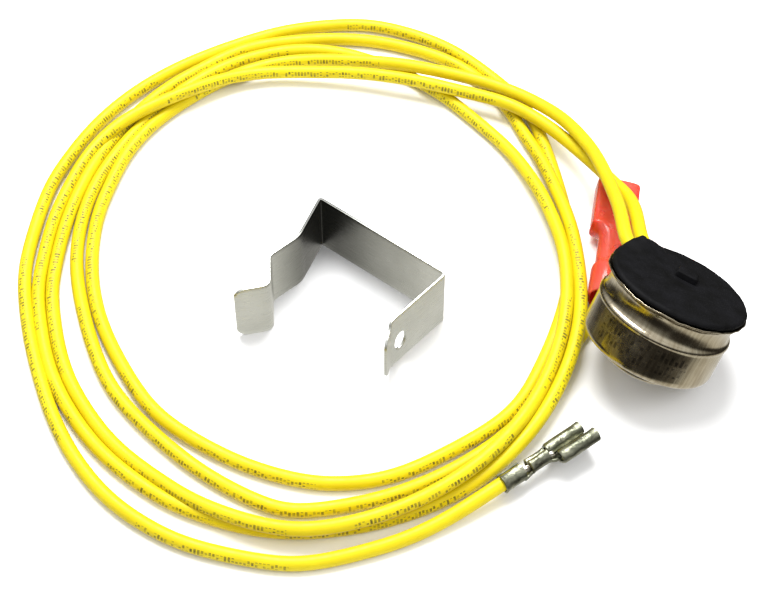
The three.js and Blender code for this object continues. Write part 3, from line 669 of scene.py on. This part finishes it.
tin, tree, shader = new_material("aged_tin", {"Metallic": 1.0, "Roughness": 0.35})
dullness = mottle(tree, 420, 0, 1, detail=6)
spots = mottle(tree, 1300, 0, 0.7, detail=3)
tinned = mix_colours(tree, dullness, colour(0.40, 0.40, 0.30), colour(0.08, 0.085, 0.055))
tree.links.new(mix_colours(tree, spots, tinned, colour(0.22, 0.23, 0.17)),
               shader.inputs["Base Color"])
tree.links.new(mottle(tree, 600, 0.26, 0.5), shader.inputs["Roughness"])
bump(tree, shader, dullness, 0.00025, 0.8)

bare_frame = laid_frame((1.6, -38.5, 3.05), 36, 3.6, -36)
CRIMP_SEAM = (76, -256)  # the angles at which the insulation crimp's two edges end
FLOOR = -1.75
DIMPLE_AT = 14.8
bm = bmesh.new()
bent_sheet(bm, [(x, arc((0, 0), radius, *CRIMP_SEAM, 28)) for x, radius in
                ((0, 1.66), (0.35, 1.5), (2.2, 1.47), (4.1, 1.5), (4.4, 1.6))])
bent_sheet(bm, [(x, conductor_section(size)) for x, size in
                ((5.9, 1.1), (6.3, 1.0), (7.9, 0.96), (9.5, 1.0), (9.9, 1.1))])
spine = ((3.9, 1.3, -1.45), (5.0, 1.0, -1.4), (6.3, 0.7, -1.25), (9.6, 0.8, -1.25),
         (10.3, 1.5, FLOOR + 0.3), (11.4, 1.9, FLOOR))
bent_sheet(bm, [(x, [(-half, z + 0.55), (-half * 0.8, z + 0.12), (-half * 0.4, z), (0, z),
                     (half * 0.4, z), (half * 0.8, z + 0.12), (half, z + 0.55)])
                for x, half, z in spine])
body = []
for x, half_width, radius, curl in ((11.0, 3.3, 1.0, 200), (11.4, 3.6, 1.06, 205),
                                    (12.8, 3.65, 1.08, 212), (14.0, 3.65, 1.08, 214),
                                    (14.8, 3.65, 1.08, 214), (15.6, 3.65, 1.08, 214),
                                    (17.4, 3.65, 1.08, 214), (18.4, 3.68, 1.1, 212),
                                    (18.8, 3.72, 1.14, 206)):
    section = rolled_section(half_width, FLOOR, radius, curl)
    dimple = 0.3 * math.exp(-((x - DIMPLE_AT) / 0.9) ** 2)
    section = [(y, z + dimple * math.exp(-(y / 0.9) ** 2) if z < FLOOR + 0.01 else z)
               for y, z in section]
    body.append((x, section))
bent_sheet(bm, body)
bare_terminal = terminal_piece("bare_terminal", bm, bare_frame)
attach(bare_terminal, "thermostat")
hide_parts("bare_receptacle")

# ---- Insulated receptacle ----
# The same kind of terminal inside a red nylon sleeve, which has a bell where the lead goes in, a
# round barrel over the crimp, a ridge, and a flat box over the tab socket. The nylon lets light in.
sleeve_frame = laid_frame((22.1, 2.4, 3.15), 80.2, 0, 8)


def lofted(bm, sections, count=56):
    """Rings of a rounded outline, each (x, half width, half height, squareness), end to end."""
    rings = []
    for x, half_width, half_height, squareness in sections:
        ring = []
        for k in range(count):
            turn = 2 * math.pi * k / count
            y, z = math.cos(turn), math.sin(turn)
            stretch = (abs(y) ** squareness + abs(z) ** squareness) ** (-1 / squareness)
            ring.append(bm.verts.new((x, y * stretch * half_width, z * stretch * half_height)))
        rings.append(ring)
    for ring, after in zip(rings, rings[1:] + rings[:1]):
        for k in range(count):
            bm.faces.new((ring[k], ring[(k + 1) % count], after[(k + 1) % count], after[k]))


bm = bmesh.new()
lofted(bm, [
    (0.1, 2.9, 2.9, 2), (0, 3.0, 3.0, 2), (0.25, 3.12, 3.12, 2), (6.6, 3.08, 3.08, 2),
    (7.4, 2.95, 2.95, 2), (8.1, 2.55, 2.55, 2), (8.6, 2.48, 2.48, 2), (14.6, 2.45, 2.42, 2),
    (15.6, 2.7, 2.42, 2.3), (16.3, 3.4, 2.4, 3), (16.75, 3.9, 2.42, 4.5),
    (16.9, 4.2, 2.44, 6), (17.3, 4.25, 2.46, 7), (17.5, 4.15, 2.36, 7), (20, 4.15, 2.32, 7),
    (28.4, 4.15, 2.3, 7), (28.85, 4.1, 2.26, 6), (29.0, 3.95, 2.12, 6), (28.9, 3.72, 1.9, 6),
    (28.2, 3.66, 1.84, 7), (18.4, 3.66, 1.86, 7), (17.4, 3.0, 1.84, 3), (16.4, 1.95, 1.8, 2),
    (8.4, 1.9, 1.9, 2), (7.6, 2.2, 2.2, 2), (6.9, 2.5, 2.5, 2), (0.4, 2.6, 2.6, 2),
    (0.15, 2.75, 2.75, 2)])
sleeve_mesh = mesh_from(bm, "red_sleeve")
sleeve_mesh.transform(sleeve_frame)
nylon, tree, shader = new_material("red_nylon_clear", {
    "Roughness": 0.3, "IOR": 1.5, "Transmission Weight": 0.3, "Subsurface Weight": 0.6,
    "Subsurface Scale": 0.003, "Subsurface Radius": (1.0, 0.25, 0.15)})
tree.links.new(mix_colours(tree, mottle(tree, 90, 0, 1, detail=1), colour(1.0, 0.07, 0.04),
                           colour(1.0, 0.13, 0.08)), shader.inputs["Base Color"])
tree.links.new(mottle(tree, 200, 0.2, 0.3, detail=1), shader.inputs["Roughness"])
bump(tree, shader, mottle(tree, 120, 0, 1, detail=1), 0.00004, 0.2)
sleeve = mesh_object("red_sleeve", sleeve_mesh, nylon)
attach(sleeve, "thermostat")
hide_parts("insulator_sleeve")

bm = bmesh.new()
bent_sheet(bm, [(x, arc((0, 0), radius, *CRIMP_SEAM, 24)) for x, radius in
                ((10.4, 1.4), (10.7, 1.3), (14.2, 1.3), (14.5, 1.4))])
INNER_FLOOR = -1.3
bent_sheet(bm, [(x, [(-half, z + 0.3), (0, z), (half, z + 0.3)]) for x, half, z in
                ((14.0, 0.8, -1.35), (16.0, 1.2, INNER_FLOOR), (18.6, 1.6, INNER_FLOOR))])
bent_sheet(bm, [(x, rolled_section(3.25, INNER_FLOOR, 0.95, 208)) for x in
                evenly(18.4, 27.9, 6)])
hidden_terminal = terminal_piece("insulated_terminal", bm, sleeve_frame)
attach(hidden_terminal, "thermostat")
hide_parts("insulated_receptacle")

# ---- Bared strands ----
# Seven tinned copper strands with a twist to them, one in the middle and six laid round it. They
# leave the insulation and run through each terminal's conductor crimp.


def make_strands():
    """Geometry: strands twisted round a straight middle one, between two points."""
    tree = bpy.data.node_groups.new("twisted_strands", "GeometryNodeTree")
    face = tree.interface
    for name, kind in (("From", "Vector"), ("To", "Vector"), ("Strand Radius", "Float"),
                       ("Lay Radius", "Float"), ("Turns", "Float"), ("Outer Strands", "Int"),
                       ("Finish", "Material")):
        face.new_socket(name, in_out="INPUT", socket_type="NodeSocket" + kind)
    face.new_socket("Geometry", in_out="OUTPUT", socket_type="NodeSocketGeometry")
    given = tree.nodes.new("NodeGroupInput").outputs
    line = put_node(tree, "GeometryNodeCurvePrimitiveLine", {"Start": given["From"],
                                                             "End": given["To"]})
    stepped = put_node(tree, "GeometryNodeResampleCurve", {"Curve": line.outputs[0],
                                                           "Count": 40})
    copies = put_node(tree, "GeometryNodeDuplicateElements", {
        "Geometry": stepped.outputs[0], "Amount": given["Outer Strands"]}, domain="SPLINE")
    share = maths(tree, "DIVIDE", copies.outputs["Duplicate Index"], given["Outer Strands"])
    along = tree.nodes.new("GeometryNodeSplineParameter").outputs["Factor"]
    turned = maths(tree, "MULTIPLY_ADD", along, given["Turns"], share)
    angle = maths(tree, "MULTIPLY", turned, 2 * math.pi)
    sideways, upward = (maths(tree, "MULTIPLY", maths(tree, wave, angle), given["Lay Radius"])
                        for wave in ("COSINE", "SINE"))
    offset = put_node(tree, "ShaderNodeCombineXYZ", {"Y": sideways, "Z": upward})
    laid = put_node(tree, "GeometryNodeSetPosition", {"Geometry": copies.outputs["Geometry"],
                                                      "Offset": offset.outputs[0]})
    together = tree.nodes.new("GeometryNodeJoinGeometry")
    tree.links.new(laid.outputs[0], together.inputs[0])
    tree.links.new(stepped.outputs[0], together.inputs[0])
    round_wire = put_node(tree, "GeometryNodeCurvePrimitiveCircle", {
        "Resolution": 10, "Radius": given["Strand Radius"]})
    wires = put_node(tree, "GeometryNodeCurveToMesh", {
        "Curve": together.outputs[0], "Profile Curve": round_wire.outputs[0],
        "Fill Caps": True})
    real = put_node(tree, "GeometryNodeRealizeInstances", {"Geometry": wires.outputs[0]})
    finished = put_node(tree, "GeometryNodeSetMaterial", {
        "Geometry": real.outputs[0], "Material": given["Finish"]})
    put_node(tree, "NodeGroupOutput", {"Geometry": finished.outputs[0]})
    return tree


def grained_finish(name, metal, roughness, dark, light, scale):
    """A fine-grained finish that wanders between a dark and a light shade."""
    material, tree, shader = new_material(name, {"Metallic": metal, "Roughness": roughness})
    tree.links.new(mix_colours(tree, mottle(tree, scale, 0, 1, detail=5), colour(*dark),
                               colour(*light)), shader.inputs["Base Color"])
    tree.links.new(mottle(tree, scale * 1.7, roughness * 0.8, roughness * 1.2),
                   shader.inputs["Roughness"])
    bump(tree, shader, mottle(tree, scale * 2, 0, 1), 0.00003)
    return material


strands_tree = make_strands()
tinned_wire = grained_finish("tinned_strands", 1.0, 0.3, (0.62, 0.56, 0.46),
                             (0.86, 0.83, 0.76), 1400)


def bared_strands(name, start, end, frame_matrix):
    """Strands between two points of a terminal's own frame."""
    piece = bpy.data.objects.new(name, bpy.data.meshes.new(name + "_start"))
    scene.collection.objects.link(piece)
    maker = piece.modifiers.new("strands", "NODES")
    maker.node_group = strands_tree
    for socket_name, value in (("From", start), ("To", end), ("Strand Radius", 0.2),
                               ("Lay Radius", 0.4), ("Turns", 0.6), ("Outer Strands", 6),
                               ("Finish", tinned_wire)):
        maker[strands_tree.interface.items_tree[socket_name].identifier] = value
    made = bpy.data.meshes.new_from_object(
        piece.evaluated_get(bpy.context.evaluated_depsgraph_get()))
    piece.modifiers.clear()
    made.transform(frame_matrix)
    for polygon in made.polygons:
        polygon.use_smooth = True
    piece.data = made
    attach(piece, "thermostat")
    return piece


bare_strands = bared_strands("bare_strands", (4.3, 0, -0.1), (11.0, 0, -0.55), bare_frame)
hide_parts("bare_end_conductor")
insulated_strands = bared_strands("insulated_strands", (9.8, 0, 0), (15.1, 0, -0.4),
                                  sleeve_frame)
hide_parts("insulated_end_conductor")

# ---- Spring clip ----
# Satin stainless strip, 12.7 mm wide, bent into an open hook with a turned-out tab at one end and
# a hole by the other. It lies loose, standing on its edge inside the coil.
STRIP_HEIGHT = 12.7
TAB_CORNER = 2.4  # radius of the strip's four corners
LIP_LENGTH = 4.6  # the narrower end, past the hole
LIP_HEIGHT = 10.2
LIP_BLEND = 1.2  # the run over which the strip narrows to it
ROWS = 14  # of faces up the strip
clip_line = [(-45.4, -3.5), (-38.9, -2.0), (-39.2, 5.0), (-34.0, 9.7), (-30.3, 19.2),
             (-7.3, 0.7), (-17.2, -10.5), (-18.2, -15.0)]
clip_bends = [1.4, 0.9, 1.2, 0.7, 0.9, 0.9]


def clip_plan():
    """The strip's middle line in plan, with arcs at its bends."""
    points = [(x, y, 0) for x, y in clip_line]
    for i, bend in enumerate(clip_bends, start=1):
        points[i] = (*clip_line[i], bend)
    plan = []
    for point in rounded_profile(points, pieces=8):
        if plan and (point - plan[-1]).length > 1.2:
            far = plan[-1]
            pieces = math.ceil((point - far).length / 0.9)
            plan += [far.lerp(point, k / pieces) for k in range(1, pieces)]
        plan.append(point)
    return plan


plan = clip_plan()
run = [0.0]
for here, after in zip(plan, plan[1:]):
    run.append(run[-1] + (after - here).length)
strip_length = run[-1]


def strip_edges(s):
    """Lowest and highest edge of the strip at that run along it."""
    lip = strip_length - s
    cut = (STRIP_HEIGHT - LIP_HEIGHT) / 2 * ease(-lip, -LIP_LENGTH, LIP_BLEND - LIP_LENGTH)
    for from_end in (s, lip):
        short = max(0.0, TAB_CORNER - from_end)
        cut += TAB_CORNER - math.sqrt(TAB_CORNER ** 2 - short ** 2)
    return cut, STRIP_HEIGHT - cut


bm = bmesh.new()
uv = bm.loops.layers.uv.new("strip_map")
flat = {}


def strip_vert(s, height):
    """A point of the flat strip, bent to its plan."""
    i = max(k for k in range(len(run)) if run[k] <= s + 1e-9)
    i = min(i, len(run) - 2)
    share = (s - run[i]) / (run[i + 1] - run[i])
    x, y = plan[i].lerp(plan[i + 1], share)
    vert = bm.verts.new((Vector((x, y, height)) + CENTRING) * mm)
    flat[vert] = (s, height)
    return vert


# The hole is let into a window left open in the strip's grid.
hole_run = strip_length - LIP_LENGTH - 2.3
HOLE_HEIGHT = 5.4
HOLE_HALF = (1.5, 2.2)  # half its width and half its height
WINDOW_HALF = 2.4
WINDOW_BOTTOM, WINDOW_TOP = 3, 10  # rows
columns = sorted(
    [s for s in run if abs(s - hole_run) > WINDOW_HALF + 0.2]
    + evenly(hole_run - WINDOW_HALF, hole_run + WINDOW_HALF, 9)
    + evenly(0.3, TAB_CORNER, 6) + evenly(strip_length - TAB_CORNER, strip_length - 0.3, 6))
columns[0], columns[-1] = 0.12, strip_length - 0.12
grid = []
for s in columns:
    low, high = strip_edges(s)
    grid.append([strip_vert(s, low + (high - low) * row / ROWS) for row in range(ROWS + 1)])
window = [i for i, s in enumerate(columns) if abs(s - hole_run) < WINDOW_HALF + 0.01]
first, last = window[0], window[-1]
for i in range(len(columns) - 1):
    for row in range(ROWS):
        if first <= i < last and WINDOW_BOTTOM <= row < WINDOW_TOP:
            continue
        bm.faces.new((grid[i][row], grid[i + 1][row], grid[i + 1][row + 1], grid[i][row + 1]))
rim = ([grid[i][WINDOW_BOTTOM] for i in range(first, last)]
       + [grid[last][row] for row in range(WINDOW_BOTTOM, WINDOW_TOP)]
       + [grid[i][WINDOW_TOP] for i in range(last, first, -1)]
       + [grid[first][row] for row in range(WINDOW_TOP, WINDOW_BOTTOM, -1)])
for share in (0.45, 1.0):
    inner = []
    for vert in rim:
        s, height = flat[vert]
        turn = math.atan2((height - HOLE_HEIGHT) / 2.7, (s - hole_run) / 1.6)
        hole_s = hole_run + HOLE_HALF[0] * math.cos(turn)
        hole_z = HOLE_HEIGHT + HOLE_HALF[1] * math.sin(turn)
        inner.append(strip_vert(s + (hole_s - s) * share, height + (hole_z - height) * share))
    for k in range(len(rim)):
        after = (k + 1) % len(rim)
        bm.faces.new((rim[k], rim[after], inner[after], inner[k]))
    rim = inner
loose = [vert for vert in bm.verts if not vert.link_faces]
bmesh.ops.delete(bm, geom=loose, context="VERTS")
for made in bm.faces:
    for loop in made.loops:
        loop[uv].uv = flat[loop.vert]
clip_mesh = mesh_from(bm, "pipe_clip")

satin, tree, shader = new_material("satin_spring_steel", {"Metallic": 1.0, "Roughness": 0.3})
where, parts = mapped(tree, "strip_map")
rolled = put_node(tree, "ShaderNodeMapping", {"Vector": where, "Scale": (0.25, 9.0, 1)})
grain = mottle(tree, 1.0, 0, 1, vector=rolled.outputs["Vector"], detail=6)
steel = mix_colours(tree, grain, colour(0.70, 0.71, 0.66), colour(0.84, 0.85, 0.80))
cloud = maths(tree, "MULTIPLY", mottle(tree, 110, 0, 1), 0.35)
steel = mix_colours(tree, cloud, steel, colour(0.45, 0.46, 0.41))
# Painted shade and painted reflection darken the steel around the sharp bend, some 30 mm along the
# strip.
painted_shade_depths = ((0.0, 0.0), (14.0, 0.25), (20.0, 0.75), (22.0, 0.92), (34.0, 0.92), (37.0, 0.84),
               (47.0, 0.45), (56.0, 0.12))  # millimetres along the strip, depth of the painted shade
share = put_node(tree, "ShaderNodeMapRange", {"Value": parts["X"], "From Max": strip_length})
painted_shade_ramp = put_node(tree, "ShaderNodeValToRGB", {"Fac": share.outputs["Result"]})
set_ramp(painted_shade_ramp, [(s / strip_length, (depth, depth, depth)) for s, depth in painted_shade_depths])
# The ramp mixes painted shade, a near-black, into the steel's colour along the strip.
tree.links.new(mix_colours(tree, painted_shade_ramp.outputs["Color"], steel, colour(0.03, 0.03, 0.028)),
               shader.inputs["Base Color"])
gloss = put_node(tree, "ShaderNodeMapRange", {"Value": grain, "To Min": 0.24, "To Max": 0.42})
tree.links.new(gloss.outputs["Result"], shader.inputs["Roughness"])
bump(tree, shader, grain, 0.00003, 0.4)
clip = mesh_object("pipe_clip", clip_mesh, satin)
give_stock(clip, 0.5, 0.09)
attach(clip, "clip")
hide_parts("spring_clip")

# ---- The switch inside the capsule ----
# These keep their own shapes. Each takes the finish of its real material: rolled bimetal, moulded
# phenolic, stamped brass, coined silver, fibre and bare copper strands.
inner_finishes = [
    ("bimetal", 1.0, 0.35, (0.56, 0.54, 0.48), (0.66, 0.63, 0.56), 500, "bimetal_disc"),
    ("plated_steel", 1.0, 0.4, (0.55, 0.55, 0.52), (0.66, 0.66, 0.64), 700, "disc_retainer"),
    ("ceramic", 0.0, 0.45, (0.84, 0.82, 0.75), (0.9, 0.88, 0.83), 900, "transfer_pin"),
    ("phenolic", 0.0, 0.55, (0.10, 0.05, 0.03), (0.16, 0.085, 0.05), 1200, "switch_base"),
    ("spring_copper", 1.0, 0.3, (0.72, 0.44, 0.24), (0.8, 0.54, 0.32), 600, "contact_arm"),
    ("silver", 1.0, 0.25, (0.82, 0.81, 0.79), (0.9, 0.89, 0.87), 900,
     "moving_contact", "fixed_contact"),
    ("brass", 1.0, 0.32, (0.7, 0.53, 0.25), (0.8, 0.64, 0.35), 600,
     "fixed_terminal", "arm_terminal", "arm_rivet", "fixed_rivet"),
    ("fibre", 0.0, 0.8, (0.3, 0.18, 0.11), (0.4, 0.26, 0.17), 1500, "insulating_cover"),
    ("copper_strands", 1.0, 0.35, (0.66, 0.36, 0.22), (0.78, 0.48, 0.3), 1400,
     "plain_lead_core", "printed_lead_core"),
]
for finish, metal, roughness, dark, light, scale, *node_names in inner_finishes:
    material = grained_finish(finish + "_finish", metal, roughness, dark, light, scale)
    for node_name in node_names:
        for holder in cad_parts[node_name].material_slots:
            holder.link = "OBJECT"
            holder.material = material
